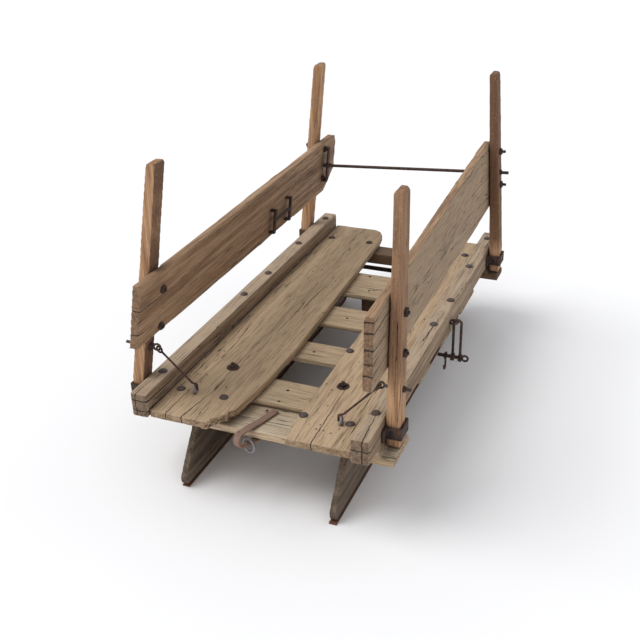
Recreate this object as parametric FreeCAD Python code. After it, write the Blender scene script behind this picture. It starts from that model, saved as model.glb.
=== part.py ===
import FreeCAD, Part
import math
import os

V = FreeCAD.Vector

# A small stake-sided wooden sled. X runs across it, Y from its heel end to its nose end, Z up.
# All sizes are millimetres. The floor is z = 0 until the whole model is moved to its origin.

# --- driving dimensions ---
rail_length = 1004.0
rail_span = 487.6            # over the outer faces of both rails
rail_width = 38.0
rail_height = 51.0
deck_thickness = 18.0        # deck boards; their bottoms are flush with the rails' bottoms
slat_thickness = 12.0
beam_height = 30.0
beam_overhang = 30.7         # how far each beam stands out beyond the rails
rear_beam_from, rear_beam_to = 48.0, 140.0
front_beam_from, front_beam_to = 888.0, 943.0
slat_spans = [(131.0, 221.0), (313.0, 389.0), (477.0, 570.0), (638.0, 766.0)]
beam_underside = 138.0       # height of the beams above the floor
runner_thickness = 15.5
left_runner_inner = -148.8
right_runner_inner = 154.5
heel_top, heel_foot = 104.0, 20.0
nose_end = 1012.0
nose_radius = 128.0
shoe_thickness = 3.5
left_shoe_reach, right_shoe_reach = 2.0, 9.0
nose_rod_radius = 6.0
rod_end_radius = 5.5         # its ends are turned down outside the runners
nose_rod_y, nose_rod_z = 957.0, 93.0
stake_width = 36.0
stake_foot_thickness = 28.0
stake_gap = 0.6              # between a stake and the rail, and round it in its pocket
pocket_iron = 3.5
pocket_height = 24.0
pocket_rise = 10.0           # the pockets' bottoms above the rails' bottoms
board_thickness = 20.0
iron_gap = 0.4               # between loose links that hang in each other

# --- what follows from them ---
rail_out = rail_span / 2
rail_in = rail_out - rail_width
deck_under = beam_underside + beam_height
rail_top = deck_under + rail_height
deck_top = deck_under + deck_thickness
slat_under = deck_under - slat_thickness
pocket_base = deck_under + pocket_rise
beam_reach = rail_out + beam_overhang
stake_face = rail_out + stake_gap
stake_foot = slat_under + 2.0


def box(x0, x1, y0, y1, z0, z1):
    return Part.makeBox(abs(x1 - x0), y1 - y0, z1 - z0, V(min(x0, x1), y0, z0))


def prism(points, direction):
    """A closed outline pushed along a vector."""
    corners = [V(*p) for p in points]
    return Part.Face(Part.makePolygon(corners + corners[:1])).extrude(V(*direction))


def bar(start, end, radius):
    axis = V(*end) - V(*start)
    return Part.makeCylinder(radius, axis.Length, V(*start), axis)


def ring(centre, normal, middle_radius, wire_radius):
    return Part.makeTorus(middle_radius, wire_radius, V(*centre), V(*normal))


def soften(shape, radius, keep):
    """Round the straight edges that the keep test chooses."""
    edges = [e for e in shape.Edges if keep(e)]
    return shape.makeFillet(radius, edges)


def along(edge, axis):
    """True when a straight edge runs along one axis."""
    span = edge.Vertexes[-1].Point - edge.Vertexes[0].Point
    others = [abs(span[i]) for i in range(3) if i != "xyz".index(axis)]
    return abs(span["xyz".index(axis)]) > 0.5 and max(others) < 1e-6


def bent_rod(points, radius, bend):
    """A round rod along straight runs joined by tangent arcs."""
    spots = [V(*p) for p in points]
    edges = []
    last = spots[0]
    for before, corner, after in zip(spots, spots[1:], spots[2:]):
        inward = (before - corner).normalize()
        outward = (after - corner).normalize()
        half_turn = (math.pi - inward.getAngle(outward)) / 2
        reach = bend * math.tan(half_turn)
        start = corner + inward * reach
        end = corner + outward * reach
        middle_line = (inward + outward).normalize()
        middle = corner + middle_line * (bend / math.cos(half_turn) - bend)
        edges.append(Part.LineSegment(last, start).toShape())
        edges.append(Part.Arc(start, middle, end).toShape())
        last = end
    edges.append(Part.LineSegment(last, spots[-1]).toShape())
    path = Part.Wire(edges)
    section = Part.Wire(Part.Circle(spots[0], spots[1] - spots[0], radius).toShape())
    return path.makePipeShell([section], True, False)


def strap(sections):
    """Flat iron through a row of (centre, thickness direction, width direction, thickness, width)."""
    wires = []
    for centre, through, across, thick, wide in sections:
        c = V(*centre)
        t = V(*through).normalize() * (thick / 2)
        w = V(*across).normalize() * (wide / 2)
        corners = [c - t - w, c + t - w, c + t + w, c - t + w]
        wires.append(Part.makePolygon(corners + corners[:1]))
    return Part.makeLoft(wires, True, True)


nodes = {}


def rail(side):
    body = box(side * rail_in, side * rail_out, 0, rail_length, deck_under, rail_top)
    return soften(body, 7.0, lambda e: along(e, "z") and abs(abs(e.CenterOfMass.x) - rail_out) < 1)


def beam(y0, y1):
    """A cross beam, lower at its ends, where the stakes stand on it."""
    body = box(-beam_reach, beam_reach, y0, y1, beam_underside, deck_under)
    for side in (-1, 1):
        body = body.cut(box(side * rail_out, side * beam_reach, y0, y1, slat_under, deck_under))
    return body


def runner(inner, side):
    """A board on edge: slanted heel, flat sole, nose turned up, seats cut for both beams."""
    sole = shoe_thickness
    heel_corner = V(0, heel_foot, sole + 20)
    sole_start = V(0, heel_foot + 16, sole)
    heel_mid = V(0, heel_foot + 4.5, sole + 6)
    nose_start = V(0, nose_end - nose_radius, sole)
    nose_mid = V(0, nose_end - nose_radius * (1 - math.sin(math.radians(42))),
                 sole + nose_radius * (1 - math.cos(math.radians(42))))
    nose_tip = V(0, nose_end - 2, sole + nose_radius - 22)
    crown = [nose_tip, V(0, nose_end - 12, beam_underside - 4), V(0, front_beam_to + 30, beam_underside),
             V(0, front_beam_from, beam_underside), V(0, front_beam_from, slat_under),
             V(0, rear_beam_to, slat_under), V(0, rear_beam_to, beam_underside),
             V(0, heel_top, beam_underside), heel_corner]
    edges = [Part.Arc(heel_corner, heel_mid, sole_start).toShape(),
             Part.LineSegment(sole_start, nose_start).toShape(),
             Part.Arc(nose_start, nose_mid, nose_tip).toShape()]
    for a, b in zip(crown, crown[1:]):
        edges.append(Part.LineSegment(a, b).toShape())
    body = Part.Face(Part.Wire(edges)).extrude(V(runner_thickness, 0, 0))
    body.translate(V(min(inner, inner + side * runner_thickness), 0, 0))
    return body


def shoe(inner, side, reach):
    """The iron strip under a runner, bent up round the nose."""
    nose_start = nose_end - nose_radius
    turn = math.radians(58)
    outer = nose_radius + shoe_thickness
    centre_z = shoe_thickness + nose_radius

    def on_arc(radius, angle):
        return V(0, nose_start + radius * math.sin(angle), centre_z - radius * math.cos(angle))

    heel = heel_foot + 10 - reach
    edges = [Part.LineSegment(V(0, heel, 0), V(0, nose_start, 0)).toShape(),
             Part.Arc(V(0, nose_start, 0), on_arc(outer, turn / 2), on_arc(outer, turn)).toShape(),
             Part.LineSegment(on_arc(outer, turn), on_arc(nose_radius, turn)).toShape(),
             Part.Arc(on_arc(nose_radius, turn), on_arc(nose_radius, turn / 2),
                      V(0, nose_start, shoe_thickness)).toShape(),
             Part.LineSegment(V(0, nose_start, shoe_thickness), V(0, heel, shoe_thickness)).toShape(),
             Part.LineSegment(V(0, heel, shoe_thickness), V(0, heel, 0)).toShape()]
    body = Part.Face(Part.Wire(edges)).extrude(V(runner_thickness, 0, 0))
    body.translate(V(min(inner, inner + side * runner_thickness), 0, 0))
    return body


# --- floor frame ---
left_edge_near, left_edge_mid, left_edge_far = -47.0, -33.0, -59.0
right_board_edge = 70.0
nodes["left_rail"] = rail(-1)
nodes["right_rail"] = rail(1)
nodes["front_beam"] = beam(front_beam_from, front_beam_to)
relief = box(left_edge_near - 37, right_board_edge + 4, rear_beam_from, rear_beam_to, slat_under, deck_under)
nodes["rear_beam"] = beam(rear_beam_from, rear_beam_to).cut(relief)
worn_edge = soften(nodes["rear_beam"], 5.0, lambda e: along(e, "x") and e.CenterOfMass.y < rear_beam_from + 1
                   and abs(e.CenterOfMass.x) < 60 and e.CenterOfMass.z > beam_underside + 5)
nodes["rear_beam"] = worn_edge
for number, (y0, y1) in enumerate(slat_spans, 1):
    slat = box(-rail_out, rail_out, y0, y1, slat_under, deck_under)
    nodes[f"slat_{number}"] = slat.cut(nodes["rear_beam"]) if y0 < rear_beam_to else slat

broken_corner = [(-84, 4), (-77, 12), (-79, 22), (-70, 27), (-66, 38), (-57, 43), (-58, 55),
                 (-50, 62), (left_edge_near, 79)]
outline = [(-rail_in, 5)] + broken_corner + [
    (-38, 160), (left_edge_mid, 336), (left_edge_far + 2, 940), (left_edge_far - 3, 975),
    (left_edge_far - 15, 997), (left_edge_far - 34, 1008), (-rail_in, 1008)]
nodes["left_deck_board"] = prism([(x, y, deck_under) for x, y in outline], (0, 0, deck_thickness))
outline = [(rail_in, 10), (rail_in, 1002), (right_board_edge + 14, 1004), (right_board_edge + 2, 990),
           (right_board_edge - 1, 500), (right_board_edge + 1, 60), (right_board_edge + 8, 30),
           (right_board_edge + 5, 7)]
nodes["right_deck_board"] = prism([(x, y, deck_under) for x, y in outline], (0, 0, deck_thickness))

# --- runners, shoes, nose rod, and the block under the widest slat ---
sides = {"left": (left_runner_inner, -1, left_shoe_reach), "right": (right_runner_inner, 1, right_shoe_reach)}
rod_reach = 14.0
rod_left = left_runner_inner - runner_thickness
rod_right = right_runner_inner + runner_thickness
nose_rod = bar((rod_left, nose_rod_y, nose_rod_z), (rod_right, nose_rod_y, nose_rod_z), nose_rod_radius)
thin_rod = bar((rod_left - rod_reach, nose_rod_y, nose_rod_z), (rod_right + rod_reach, nose_rod_y, nose_rod_z),
               rod_end_radius)
nose_rod = nose_rod.fuse(thin_rod).removeSplitter()
nodes["nose_rod"] = nose_rod
for name, (inner, side, reach) in sides.items():
    nodes[f"{name}_shoe"] = shoe(inner, side, reach)
    nodes[f"{name}_runner"] = runner(inner, side).cut(nose_rod).cut(nodes[f"{name}_shoe"])
widest_from, widest_to = slat_spans[3]
nodes["centre_block"] = box(-8, 40, widest_from + 14, widest_to - 34, slat_under - 48, slat_under)

# --- stakes, each with its own lean, in pockets on the rails' outer faces ---
# side, first y, lean (run per unit of rise towards the middle), top height, thickness at the top
stakes = {
    "rear_left": (-1, 58.0, 0.1785, 662.0, 26.0),
    "rear_right": (1, 84.0, -0.0200, 652.0, 24.0),
    "front_left": (-1, 903.0, 0.1024, 649.0, 26.0),
    "front_right": (1, 897.0, 0.0566, 656.0, 24.0),
}
pocket_top = pocket_base + pocket_height


def stake_inner(lean, z):
    """Distance of a stake's inner face from the middle plane at a height."""
    return stake_face - lean * (z - rail_top)


def stake(side, y0, lean, top, top_thickness):
    """The inner face leans all the way; the foot's outer face is shaved upright for the pocket."""
    foot_in = stake_inner(lean, stake_foot)
    outer = stake_face + stake_foot_thickness
    if lean < 0:
        foot_in = stake_face
    crown = stake_inner(lean, top)
    knee = stake_face if lean < 0 else stake_inner(lean, rail_top)
    points = [(foot_in, stake_foot), (outer, stake_foot), (outer, rail_top),
              (crown + top_thickness - 3, top - 9), (crown + top_thickness - 7, top - 1), (crown + 4, top),
              (crown, top - 6), (knee, rail_top)]
    body = prism([(side * x, y0, z) for x, z in points], (0, stake_width, 0))
    return soften(body, 2.5, lambda e: abs(e.Length) > 200)


for name, (side, y0, lean, top, top_thickness) in stakes.items():
    nodes[f"{name}_stake"] = stake(side, y0, lean, top, top_thickness)
    hole_out = stake_face + stake_foot_thickness + stake_gap
    hole = box(side * (rail_out - 1), side * hole_out, y0 - stake_gap, y0 + stake_width + stake_gap,
               pocket_base - 1, pocket_top + 1)
    outside = box(side * rail_out, side * (hole_out + pocket_iron), y0 - stake_gap - pocket_iron,
                  y0 + stake_width + stake_gap + pocket_iron, pocket_base, pocket_top)
    outside = soften(outside, 3.0, lambda e: along(e, "z") and abs(e.CenterOfMass.x) > rail_out + 5)
    ears = box(side * rail_out, side * (rail_out + pocket_iron), y0 - 20, y0 + stake_width + 20,
               pocket_base, pocket_top)
    nodes[f"{name}_pocket"] = outside.fuse(ears).cut(hole).removeSplitter()


# --- side boards inside the stakes ---
def board_section(side, lean, y, z0, z1):
    corners = [(stake_inner(lean, z0), z0), (stake_inner(lean, z1), z1),
               (stake_inner(lean, z1) - board_thickness, z1), (stake_inner(lean, z0) - board_thickness, z0)]
    spots = [V(side * x, y, z) for x, z in corners]
    return Part.makePolygon(spots + spots[:1])


def lean_at(name_a, name_b, y):
    """The lean between two stakes, or beyond them, in proportion to y."""
    ya, yb = stakes[name_a][1] + stake_width / 2, stakes[name_b][1] + stake_width / 2
    la, lb = stakes[name_a][2], stakes[name_b][2]
    return la + (lb - la) * (y - ya) / (yb - ya)


def sideboard(side, name_a, name_b, near, far):
    """near and far are (y, bottom, top) of the board's two ends."""
    sections = [board_section(side, lean_at(name_a, name_b, y), y, z0, z1) for y, z0, z1 in (near, far)]
    return Part.makeLoft(sections, True, True)


left_near, left_far = (-5.0, 321.0, 454.0), (1004.0, 307.0, 449.0)
right_near, right_far = (4.0, 318.0, 462.0), (931.0, 325.0, 487.0)
left_board = sideboard(-1, "rear_left", "front_left", left_near, left_far)
chamfer = [(-300, 924, 300), (-300, 1010, 300), (-300, 1010, 352), (-300, 994, 348)]
left_board = left_board.cut(prism(chamfer, (200, 0, 0)))
top_round = [(-300, 1010, 452), (-300, 978, 452), (-300, 996, 445), (-300, 1003, 430), (-300, 1010, 425)]
left_board = left_board.cut(prism(top_round, (200, 0, 0)))
right_board = sideboard(1, "rear_right", "front_right", right_near, right_far)
for end in ("rear", "front"):
    left_board = left_board.cut(nodes[f"{end}_left_stake"])
    right_board = right_board.cut(nodes[f"{end}_right_stake"])

# --- iron on the racks: keepers on the boards, end rod, and the eyes for the brace hooks ---
keeper_standoff = 14.0


def inner_face(side, y, z):
    """X of a side board's inner face."""
    pair = ("rear_left", "front_left") if side < 0 else ("rear_right", "front_right")
    return side * (stake_inner(lean_at(*pair, y), z) - board_thickness)


def keeper_bar(side, y, z_low, z_high, wide, thick):
    """A flat bar held off the board by its two bent ends."""
    def at(z, off):
        return (inner_face(side, y, z) - side * off, y, z)
    bar_in, bar_out = keeper_standoff, keeper_standoff - thick
    points = [at(z_low, -1), at(z_low, bar_in), at(z_high, bar_in), at(z_high, -1),
              at(z_high - thick, -1), at(z_high - thick, bar_out), at(z_low + thick, bar_out),
              at(z_low + thick, -1)]
    corners = [V(x, y - wide / 2, z) for x, _, z in points]
    return Part.Face(Part.makePolygon(corners + corners[:1])).extrude(V(0, wide, 0))


rod_left_z, rod_right_z = 387.0, 416.0
rod_y = stakes["front_left"][1] + stake_width / 2 - 3
keeper_low, keeper_high = 344.0, 436.0
rod_keeper = keeper_bar(-1, rod_y, keeper_low, keeper_high, 12.0, 4.0)
nodes["rod_keeper"] = rod_keeper.cut(left_board)
bar_x = inner_face(-1, rod_y, rod_left_z) + keeper_standoff - 2.0
hook_radius, end_rod_radius = 9.0, 3.8
rod_start = (bar_x + hook_radius, rod_y, rod_left_z)
rod_end_x = stake_inner(stakes["front_right"][2], rod_right_z) + stake_foot_thickness + 16
rod_axis_y = stakes["front_right"][1] + stake_width / 2
end_rod = bar(rod_start, (rod_end_x, rod_axis_y, rod_right_z), end_rod_radius)
rod_hook = ring((bar_x, rod_y, rod_left_z), (0, 0, 1), hook_radius, end_rod_radius - 0.6)
end_rod = end_rod.fuse(rod_hook)
nodes["end_rod"] = end_rod.cut(nodes["rod_keeper"]).cut(left_board)

side_keeper_y, side_keeper_span = (582.0, 672.0), (326.0, 386.0)
side_keepers = []
for side, board in ((-1, left_board), (1, right_board)):
    uprights = [keeper_bar(side, y, *side_keeper_span, 9.0, 5.0) for y in side_keeper_y]
    rung_z = 358.0
    rung_off = side * (keeper_standoff - 2.5)
    rung_ends = [(inner_face(side, y, rung_z) - rung_off, y, rung_z) for y in side_keeper_y]
    rung = bar(*rung_ends, 3.5)
    side_keepers.append(uprights[0].fuse([uprights[1], rung]).cut(board))
nodes["side_keepers"] = Part.makeCompound(side_keepers)

brace_ring_radius, brace_wire = 6.5, 2.1
eye_shank = 3.0
# how far each stake eye stands off its stake, its height, the deck eye's distance from the rail and its y
brace_layout = {"left": (14.8, 284.0, 52.8, 92.0), "right": (16.5, 276.0, 47.8, 87.0)}
deck_ring_radius, deck_wire = 7.6, 2.4
deck_ring_z = deck_top + deck_ring_radius - 1.0
stake_eyes, deck_eyes, brace_hooks = [], [], {}
joints = []                  # name, a point on the axis, the axis
marks = []                   # other places that the record states


def heading(start, end):
    span = V(end[0] - start[0], end[1] - start[1], 0)
    return span.normalize()


for name, (standoff, eye_height, inset, foot_y) in brace_layout.items():
    side, stake_y, lean = stakes[f"rear_{name}"][:3]
    eye = (side * (stake_inner(lean, eye_height) - standoff), stake_y + stake_width / 2, eye_height)
    foot = (side * (rail_in - inset), foot_y)
    flat = heading(eye, foot)
    hinge = V(flat.y, -flat.x, 0)
    shank_end = side * (stake_face + stake_foot_thickness + 14)
    shank = bar((eye[0] + side * brace_ring_radius, eye[1], eye[2]), (shank_end, eye[1], eye[2]), eye_shank)
    stake_eyes.append(ring(eye, (hinge.x, hinge.y, 0), brace_ring_radius, brace_wire).fuse(shank))
    ring_top = (foot[0], foot[1], deck_ring_z)
    deck_shank = bar((foot[0], foot[1], deck_under - 8), (foot[0], foot[1], deck_ring_z - deck_ring_radius),
                     eye_shank)
    deck_eyes.append(ring(ring_top, (flat.x, flat.y, 0), deck_ring_radius, deck_wire).fuse(deck_shank))

    # the hook in its own upright plane: s runs flat from the stake eye towards the deck eye
    run = math.hypot(foot[0] - eye[0], foot[1] - eye[1])
    top_wire = deck_ring_z + deck_ring_radius
    hold = deck_wire + brace_wire + iron_gap

    def spot(s, z):
        return (eye[0] + flat.x * s, eye[1] + flat.y * s, z)

    over = (run - 4.0, top_wire + hold + 2.0)
    slope = math.atan2(over[1] - eye[2], over[0])
    loop_at = spot(brace_ring_radius * math.cos(slope), eye[2] + brace_ring_radius * math.sin(slope))
    rod_from = spot(2 * brace_ring_radius * math.cos(slope), eye[2] + 2 * brace_ring_radius * math.sin(slope))
    up = V(-flat.x * math.sin(slope), -flat.y * math.sin(slope), math.cos(slope))
    bend = spot(run + hold + 0.4, top_wire + hold - 0.6)
    path = [rod_from, spot(*over), bend, spot(run + hold + 0.8, top_wire - 9.0)]
    rod = bent_rod(path, brace_wire, 2.6)
    brace_hooks[name] = rod.fuse(ring(loop_at, (up.x, up.y, up.z), brace_ring_radius, brace_wire))
    joints.append((f"{name}_brace_hook_swing", eye, (hinge.x, hinge.y, 0.0)))

nodes["stake_eyes"] = Part.makeCompound(stake_eyes)
nodes["deck_eyes"] = Part.makeCompound(deck_eyes)
for name, hook in brace_hooks.items():
    nodes[f"{name}_brace_hook"] = hook
nodes["left_sideboard"] = left_board
nodes["right_sideboard"] = right_board.cut(end_rod)

# --- the tow clevis: flat iron over the rear beam, curled round its front and back beneath it ---
skew = math.radians(17)
ahead = V(-math.sin(skew), -math.cos(skew), 0)
across = V(math.cos(skew), -math.sin(skew), 0)
clevis_back = V(7.0, 122.0, 0)
clevis_iron, clevis_width = 4.0, 14.0
top_leg = slat_under + clevis_iron / 2
low_leg = beam_underside - clevis_iron / 2
curl_radius = (top_leg - low_leg) / 2 + 4.0
front_reach = 98.0
curl_middle = (top_leg + low_leg) / 2
profile = [((0.0, top_leg), 90), ((52.0, top_leg), 90), ((72.0, top_leg + 3), 92)]
for turn in (65, 40, 15, -10, -35, -60, -85):
    a = math.radians(turn)
    profile.append(((front_reach - curl_radius + 15 + curl_radius * math.cos(a) * 0.95,
                     curl_middle + (curl_radius + 1.0) * math.sin(a)), turn))
sections = []
for (s, z), turn in profile:
    c = clevis_back + ahead * s
    a = math.radians(turn)
    out = ahead * math.cos(a) + V(0, 0, math.sin(a))
    sections.append(((c.x, c.y, z), (out.x, out.y, out.z), (across.x, across.y, 0), clevis_iron, clevis_width))
low_back = V(15.0, 84.0, 0)
low_front = V(sections[-1][0][0], sections[-1][0][1], 0)
low_line = (low_back - low_front)
for share, z in ((0.32, low_leg - 5.0), (0.62, low_leg), (1.0, low_leg)):
    c = low_front + low_line * share
    sections.append(((c.x, c.y, z), (0, 0, -1), (across.x, across.y, 0), clevis_iron, clevis_width))
tow_clevis = strap(sections)
bolt_at = low_front + low_line * 0.80
clevis_bolt = bar((bolt_at.x, bolt_at.y, low_leg - 12), (bolt_at.x, bolt_at.y, slat_under - 3), 4.0)
nut_section = Part.makePolygon([V(bolt_at.x + 9 * math.cos(math.radians(a)), bolt_at.y + 9 * math.sin(math.radians(a)),
                                  low_leg - clevis_iron / 2 - 7) for a in range(0, 361, 60)])
clevis_bolt = clevis_bolt.fuse(Part.Face(nut_section).extrude(V(0, 0, 7)))
nodes["clevis_bolt"] = clevis_bolt
nodes["tow_clevis"] = tow_clevis.cut(clevis_bolt).cut(nodes["rear_beam"])
nodes["rear_beam"] = nodes["rear_beam"].cut(clevis_bolt)

tow_ring_radius, tow_wire = 14.0, 2.2
ring_share = 0.22
hang = low_front + low_line * ring_share
ring_room = 1.6              # the ring lies on a sloping leg, so it hangs this much freer
leg_top = low_leg - 5.0 + clevis_iron / 2 + ring_room
sag = tow_ring_radius - math.sqrt(tow_ring_radius ** 2 - (clevis_width / 2 + 1.5) ** 2)
ring_pivot_z = leg_top + tow_wire + sag + iron_gap
low_heading = V(low_line.x, low_line.y, 0).normalize()
nodes["tow_ring"] = ring((hang.x, hang.y, ring_pivot_z - tow_ring_radius), (ahead.x, ahead.y, 0),
                         tow_ring_radius, tow_wire)
marks.append(("tow_ring_centre", (hang.x, hang.y, ring_pivot_z - tow_ring_radius)))
joints.append(("tow_ring_swing", (hang.x, hang.y, ring_pivot_z), (across.x, across.y, 0.0)))

# --- the side shackle: an eye on the right rail, a bow hung on it, a cross pin and a small hook ---
shackle_y = 540.0
eye_z = deck_under + 22.0
side_ring_radius, side_wire = 9.0, 2.5
eye_x = rail_out + 7.2
rim_x = eye_x + side_ring_radius
side_eye = ring((eye_x, shackle_y, eye_z), (0, 0, 1), side_ring_radius, side_wire)
side_shank = bar((rail_out - 22, shackle_y, eye_z), (eye_x - side_ring_radius, shackle_y, eye_z), 3.5)
nodes["side_eye"] = side_eye.fuse(side_shank).removeSplitter()
bow_radius, bow_wire = 8.5, 3.0
bow_z = eye_z + side_wire + iron_gap - (bow_radius - bow_wire)
pin_drop, pin_radius = 88.0, 4.0
pin_z = eye_z - pin_drop
leg_inner, leg_outer = rim_x - bow_radius, rim_x + bow_radius
bow = Part.Wire([
    Part.LineSegment(V(leg_inner, shackle_y, pin_z), V(leg_inner, shackle_y, bow_z)).toShape(),
    Part.Arc(V(leg_inner, shackle_y, bow_z), V(rim_x, shackle_y, bow_z + bow_radius),
             V(leg_outer, shackle_y, bow_z)).toShape(),
    Part.LineSegment(V(leg_outer, shackle_y, bow_z), V(leg_outer, shackle_y, pin_z)).toShape()])
bow = bow.makePipeShell([Part.Wire(Part.Circle(V(leg_inner, shackle_y, pin_z), V(0, 0, 1), bow_wire).toShape())],
                        True, False)
for x in (leg_inner, leg_outer):
    bow = bow.fuse(bar((x - 3.5, shackle_y, pin_z), (x + 3.5, shackle_y, pin_z), 9.0))
pin = bar((leg_inner - 34, shackle_y, pin_z), (leg_outer + 6, shackle_y, pin_z), pin_radius)
pin_eye = ring((leg_outer + 11.5, shackle_y, pin_z), (0, 1, 0), 6.5, 2.4)
nodes["side_pin"] = pin.fuse(pin_eye)
nodes["side_shackle"] = bow.cut(pin)
joints.append(("side_shackle_swing", (rim_x, shackle_y, eye_z), (0.0, -1.0, 0.0)))
hook_x = leg_inner - 16.0
hook_eye_radius, hook_wire = 6.9, 2.2
hook_eye = ring((hook_x, shackle_y, pin_z), (1, 0, 0), hook_eye_radius, hook_wire)
hook_low = pin_z - hook_eye_radius
tip = [(hook_x, shackle_y, hook_low), (hook_x, shackle_y, hook_low - 24), (hook_x, shackle_y - 11, hook_low - 24),
       (hook_x, shackle_y - 11, hook_low - 13)]
nodes["side_hook"] = hook_eye.fuse(bent_rod(tip, hook_wire, 5.0))
marks.append(("side_hook_bend", (hook_x, shackle_y - 5.5, hook_low - 24)))
joints.append(("side_hook_swing", (hook_x, shackle_y, pin_z), (1.0, 0.0, 0.0)))

# --- holes for iron that passes through wood ---
for wood in ("rear_left_stake", "rear_right_stake"):
    nodes[wood] = nodes[wood].cut(nodes["stake_eyes"])
nodes["front_right_stake"] = nodes["front_right_stake"].cut(end_rod)
for wood in ("left_deck_board", "right_deck_board", "rear_beam"):
    nodes[wood] = nodes[wood].cut(nodes["deck_eyes"])
nodes["right_rail"] = nodes["right_rail"].cut(nodes["side_eye"])

# --- move everything so that the origin is under the middle of the whole model ---
whole = Part.makeCompound(list(nodes.values())).BoundBox
shift = V(-(whole.XMin + whole.XMax) / 2, -(whole.YMin + whole.YMax) / 2, -whole.ZMin)
os.makedirs("parts", exist_ok=True)
for name, shape in nodes.items():
    shape.translate(shift)
    print("node", name, "solids", len(shape.Solids), "valid", shape.isValid(), "volume", round(shape.Volume))
    shape.exportStep(f"parts/{name}.step")
print("size", round(whole.XLength, 2), round(whole.YLength, 2), round(whole.ZLength, 2))
print("shift", round(shift.x, 4), round(shift.y, 4), round(shift.z, 4))
for name, place, axis in joints:
    moved = V(*place) + shift
    print("joint", name, *[round(v, 4) for v in moved], *[round(v, 6) for v in axis])
for name, place in marks:
    print("mark", name, *[round(v, 4) for v in V(*place) + shift])
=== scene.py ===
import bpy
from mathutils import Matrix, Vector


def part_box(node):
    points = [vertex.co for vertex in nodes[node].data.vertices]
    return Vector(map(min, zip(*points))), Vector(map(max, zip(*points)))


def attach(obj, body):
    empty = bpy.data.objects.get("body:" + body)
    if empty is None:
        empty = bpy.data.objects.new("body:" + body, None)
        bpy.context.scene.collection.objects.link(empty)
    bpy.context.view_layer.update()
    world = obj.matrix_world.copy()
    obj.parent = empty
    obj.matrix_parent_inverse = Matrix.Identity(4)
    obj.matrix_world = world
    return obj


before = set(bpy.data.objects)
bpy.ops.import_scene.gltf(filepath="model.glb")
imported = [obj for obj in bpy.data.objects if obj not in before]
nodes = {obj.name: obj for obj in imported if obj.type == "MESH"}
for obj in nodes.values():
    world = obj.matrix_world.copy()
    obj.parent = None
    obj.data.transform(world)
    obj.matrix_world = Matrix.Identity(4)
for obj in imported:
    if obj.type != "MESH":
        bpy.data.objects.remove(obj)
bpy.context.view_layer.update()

import math
import random

import bmesh
import bpy
from mathutils import Vector

# %% [markdown]
# # A small stake-sided wooden sled
#
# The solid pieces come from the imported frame: rails, boards, beams, runners, stakes and iron.
# This lesson gives each of them its look. Old timber is never flat or sharp, so the wooden
# pieces get a fine mesh that is worn inwards along the grain, and a material built from a
# few shared shader groups. The small iron that is too fine for the frame, such as bolt heads,
# nuts and nails, is turned from profiles, the way a lathe would.

# %% [markdown]
# ## Where things are
#
# The part was drawn with its heel end at y = 0 and its floor at z = 0. A small helper turns
# those drawing millimetres into metres in the frame, from where the left rail really is.
# A second helper lets every colour below be written on the usual scale of 0 to 255.

# %% Set up places and colours
RAIL_OUTER = 243.8
rail_low = Vector(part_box("left_rail")[0])
DRAWING_ORIGIN = Vector((rail_low.x + RAIL_OUTER / 1000, rail_low.y, 0.0))
DECK_TOP, SLAT_TOP, RAIL_TOP = 186.0, 168.0, 219.0


def at(x, y, z):
    """A place in drawing millimetres, as metres in the frame."""
    return Vector((x, y, z)) / 1000 + DRAWING_ORIGIN


def srgb(red, green, blue):
    """A colour picked on a 0 to 255 scale, as the linear colour that shaders use."""
    def linear(v):
        v = v / 255
        return v / 12.92 if v <= 0.04045 else ((v + 0.055) / 1.055) ** 2.4
    return (linear(red), linear(green), linear(blue), 1.0)


print("nodes in the frame:", len(nodes))

# %% [markdown]
# ## A short way to write shader nodes
#
# Every material below is a tree of nodes. Writing each link by hand would hide the idea, so
# this small helper adds a node, fills its inputs and hands back its output. An input may be
# a plain number, which is set on the socket, or another node's output, which is linked.

# %% The shader helper


class Shader:
    """Adds nodes to one tree."""

    def __init__(self, tree):
        self.tree = tree

    def add(self, kind, inputs=None, **settings):
        node = self.tree.nodes.new(kind)
        for name, value in settings.items():
            setattr(node, name, value)
        for key, value in (inputs or {}).items():
            if isinstance(value, bpy.types.NodeSocket):
                self.tree.links.new(value, node.inputs[key])
            else:
                node.inputs[key].default_value = value
        return node

    def math(self, operation, a, b=0.0, clamp=False):
        return self.add("ShaderNodeMath", {0: a, 1: b}, operation=operation, use_clamp=clamp).outputs[0]

    def vector(self, operation, a, b=(0.0, 0.0, 0.0)):
        node = self.add("ShaderNodeVectorMath", {0: a, 1: b}, operation=operation)
        single = operation in ("DOT_PRODUCT", "LENGTH", "DISTANCE")
        return node.outputs["Value" if single else "Vector"]

    def scaled(self, vector, factor):
        node = self.add("ShaderNodeVectorMath", {0: vector, "Scale": factor}, operation="SCALE")
        return node.outputs["Vector"]

    def ramp(self, value, low, high, start=0.0, stop=1.0):
        """start below low, stop above high, and a smooth step between."""
        node = self.add("ShaderNodeMapRange", {0: value, 1: low, 2: high, 3: start, 4: stop},
                        interpolation_type="SMOOTHSTEP")
        return node.outputs[0]

    def mix(self, share, a, b, blend="MIX"):
        node = self.add("ShaderNodeMix", {0: share, 6: a, 7: b}, data_type="RGBA", blend_type=blend)
        return node.outputs[2]

    def noise(self, vector, scale, detail=3.0, roughness=0.5):
        inputs = {"Vector": vector, "Scale": scale, "Detail": detail, "Roughness": roughness}
        return self.add("ShaderNodeTexNoise", inputs).outputs[0]

    def noise_colour(self, vector, scale, detail=2.0):
        return self.add("ShaderNodeTexNoise", {"Vector": vector, "Scale": scale, "Detail": detail}).outputs[1]


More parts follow.
